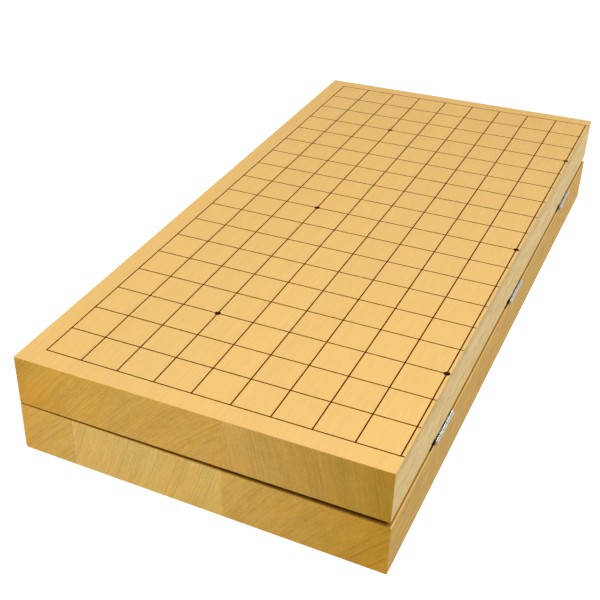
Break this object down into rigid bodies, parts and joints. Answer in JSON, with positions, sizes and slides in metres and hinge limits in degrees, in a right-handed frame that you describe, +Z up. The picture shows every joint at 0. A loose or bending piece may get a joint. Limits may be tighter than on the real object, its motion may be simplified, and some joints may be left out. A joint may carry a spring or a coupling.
{
  "type": "folding go board",
  "caption": "Folding wooden go board, shut with its lined playing faces outward: thick glued-up halves joined along one long edge by steel butt hinges.",
  "frame": {"origin": "middle of the lower half's playing face, which lies on the table when the board is shut", "axes": "+X across the board to the fold with its hinges, +Y along the fold, +Z up out of the lower playing face"},
  "size_m": [0.2151, 0.45, 0.0649],
  "materials": {
    "wood": "planed pale hardwood with a thin satin oil finish",
    "lacquer": "black-brown drawn lacquer",
    "zinc_steel": "bright zinc plate"
  },
  "bodies": {
    "lower_half": {"lower_outer_stave": "wood", "lower_middle_stave": "wood", "lower_inner_stave": "wood", "lower_grid_lines": "lacquer", "lower_star_points": "lacquer", "front_hinge_lower_leaf": "zinc_steel", "middle_hinge_lower_leaf": "zinc_steel", "rear_hinge_lower_leaf": "zinc_steel", "front_hinge_lower_screws": "zinc_steel", "middle_hinge_lower_screws": "zinc_steel", "rear_hinge_lower_screws": "zinc_steel", "front_hinge_pin": "zinc_steel", "middle_hinge_pin": "zinc_steel", "rear_hinge_pin": "zinc_steel"},
    "upper_half": {"upper_outer_stave": "wood", "upper_middle_stave": "wood", "upper_inner_stave": "wood", "upper_grid_lines": "lacquer", "upper_star_points": "lacquer", "front_hinge_upper_leaf": "zinc_steel", "middle_hinge_upper_leaf": "zinc_steel", "rear_hinge_upper_leaf": "zinc_steel", "front_hinge_upper_screws": "zinc_steel", "middle_hinge_upper_screws": "zinc_steel", "rear_hinge_upper_screws": "zinc_steel"}
  },
  "joints": [
    {"name": "fold", "type": "hinge", "parent": "lower_half", "child": "upper_half", "pos_m": [0.1068, 0, 0.03243], "axis": [0, 1, 0], "range_deg": [0, 180.75]}
  ]
}
